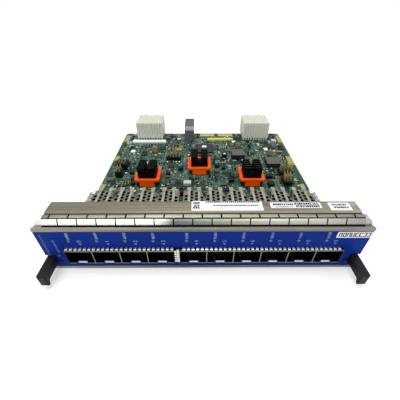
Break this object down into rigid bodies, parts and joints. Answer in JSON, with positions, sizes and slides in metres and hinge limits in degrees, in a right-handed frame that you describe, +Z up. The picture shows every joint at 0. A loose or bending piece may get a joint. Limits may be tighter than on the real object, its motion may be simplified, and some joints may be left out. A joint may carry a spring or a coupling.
{
  "type": "network interface module",
  "caption": "Plug-in network interface module: blue face with small transceiver ports, circuit board with clipped heat sinks, backplane connectors and side ejector levers.",
  "frame": {"origin": "on the underside of the faceplate's bottom flange, in the plane of the blue face's front, midway across the face", "axes": "+X to the right seen from the front, +Y to the rear along the board, +Z up"},
  "size_m": [0.1728, 0.1821, 0.0349],
  "materials": {
    "plated_steel": "satin",
    "blue_face": "satin",
    "spring_metal": "polished",
    "cage_metal": "satin",
    "board_green": "satin",
    "black_plastic": "matt",
    "lever_black": "matt",
    "sink_black": "matt",
    "clip_orange": "satin",
    "connector_cream": "satin",
    "white_plastic": "satin",
    "guide_grey": "satin",
    "clear_plastic": "glossy",
    "ferrite": "matt",
    "gold_bar": "satin",
    "fastener_steel": "satin"
  },
  "bodies": {
    "root": {"faceplate": "plated_steel", "top_hood": "plated_steel", "face_overlay": "blue_face", "spring_strip": "spring_metal", "strip_end_left": "spring_metal", "strip_end_right": "spring_metal", "spring_collar_left": "spring_metal", "spring_collar_right": "spring_metal", "cage_cover_left": "cage_metal", "cage_cover_right": "cage_metal", "cage_base_left": "cage_metal", "cage_base_right": "cage_metal", "cage_divider_left_1": "cage_metal", "cage_divider_left_2": "cage_metal", "cage_divider_left_3": "cage_metal", "cage_divider_right_1": "cage_metal", "cage_divider_right_2": "cage_metal", "cage_divider_right_3": "cage_metal", "cage_divider_right_4": "cage_metal", "cage_divider_right_5": "cage_metal", "circuit_board": "board_green", "light_board": "board_green", "port_connectors_left": "black_plastic", "port_connectors_right": "black_plastic", "memory_chip": "black_plastic", "chip_left": "black_plastic", "chip_middle": "black_plastic", "chip_right": "black_plastic", "box_header": "black_plastic", "narrow_header": "black_plastic", "side_header": "black_plastic", "front_header": "black_plastic", "pin_header": "black_plastic", "heat_sink_left": "sink_black", "heat_sink_middle": "sink_black", "heat_sink_right": "sink_black", "sink_clip_left": "clip_orange", "sink_clip_middle": "clip_orange", "sink_clip_right": "clip_orange", "backplane_connector_left": "connector_cream", "backplane_connector_right": "connector_cream", "connector_bar": "white_plastic", "guide_block": "guide_grey", "light_pipe_left": "clear_plastic", "light_pipe_right": "clear_plastic", "status_lens": "clear_plastic", "inductor_left": "ferrite", "inductor_right": "ferrite", "bus_bar": "gold_bar", "flange_screws": "fastener_steel", "flange_spacers": "fastener_steel", "bracket_screws": "fastener_steel", "corner_screw": "fastener_steel", "corner_post": "fastener_steel", "pivot_pin_left": "fastener_steel", "pivot_pin_right": "fastener_steel", "pivot_bracket_left": "fastener_steel", "pivot_bracket_right": "fastener_steel"},
    "lever_left": {"ejector_lever_left": "lever_black"},
    "lever_right": {"ejector_lever_right": "lever_black"}
  },
  "joints": [
    {"name": "lever_left_pivot", "type": "hinge", "parent": "root", "child": "lever_left", "pos_m": [-0.081, 0.008, 0.0078], "axis": [0, 0, -1], "range_deg": [0, 50]},
    {"name": "lever_right_pivot", "type": "hinge", "parent": "root", "child": "lever_right", "pos_m": [0.081, 0.008, 0.0078], "axis": [0, 0, 1], "range_deg": [0, 50]}
  ]
}
